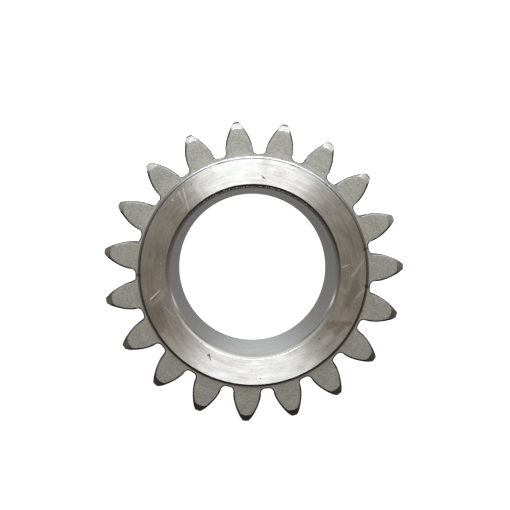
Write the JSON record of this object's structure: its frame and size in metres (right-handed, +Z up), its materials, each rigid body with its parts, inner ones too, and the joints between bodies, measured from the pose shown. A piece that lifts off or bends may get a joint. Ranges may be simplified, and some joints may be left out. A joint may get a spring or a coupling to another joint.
{
  "type": "planet gear",
  "caption": "Spur planet gear with a wide plain bore, raised hub faces and bevelled tooth ends, turned and hobbed from one piece of steel.",
  "frame": {"origin": "on the bore's axis, in the plane of the lower hub face that the gear lies on", "axes": "+Z up along the bore's axis, +Y towards the top of the picture, +X to its right"},
  "size_m": [0.0877, 0.0878, 0.038],
  "materials": {
    "steel": "blasted tooth faces, turned hub faces, ground bore"
  },
  "bodies": {
    "root": {"planet_gear": "steel"}
  },
  "joints": []
}
